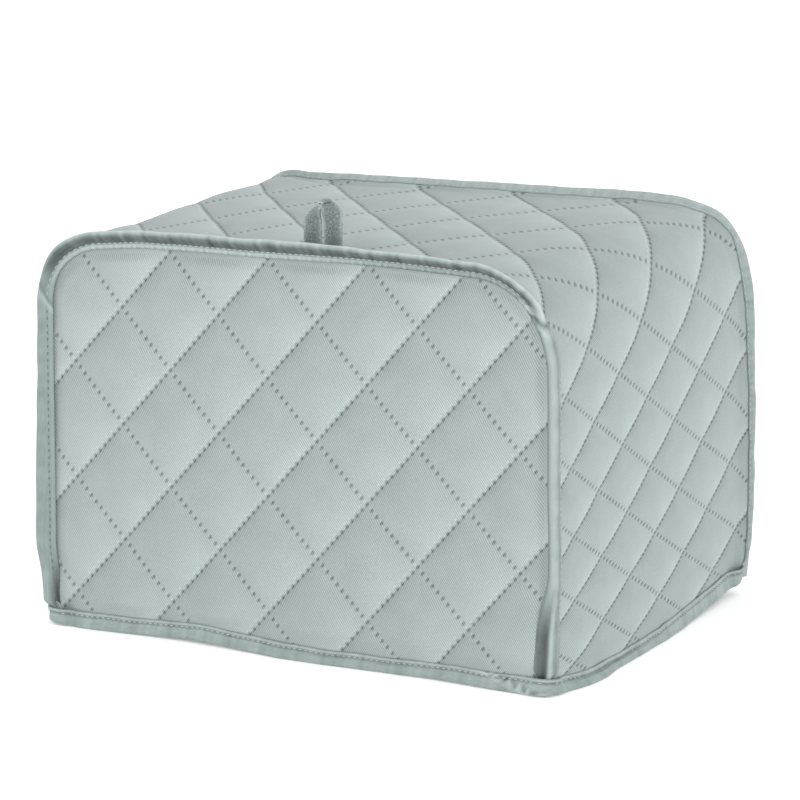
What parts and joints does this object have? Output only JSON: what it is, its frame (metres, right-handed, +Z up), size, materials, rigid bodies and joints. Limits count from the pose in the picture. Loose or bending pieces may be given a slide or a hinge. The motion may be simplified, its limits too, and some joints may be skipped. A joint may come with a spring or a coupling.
{
  "type": "toaster cover",
  "caption": "Quilted fabric cover that stands open over a toaster: D-shaped front and back, one curved gusset, bound seams and hem, and a small hanging loop on top.",
  "frame": {"origin": "on the floor under the middle of the cover, where its hem stands", "axes": "+X to the right along the wide front as seen from in front, +Y from the front panel towards the back panel, +Z up towards the hanging loop"},
  "size_m": [0.2926, 0.2229, 0.2303],
  "materials": {
    "quilted_cloth": "soft matte quilted polyester twill, pale sage grey",
    "satin_tape": "folded satin binding tape with a soft sheen, darker sage grey",
    "loop_tape": "folded cloth tape, matte, darker sage grey"
  },
  "bodies": {
    "root": {"front_panel": "quilted_cloth", "back_panel": "quilted_cloth", "gusset": "quilted_cloth", "front_binding": "satin_tape", "back_binding": "satin_tape", "hem_binding": "satin_tape", "hanging_loop": "loop_tape"}
  },
  "joints": []
}
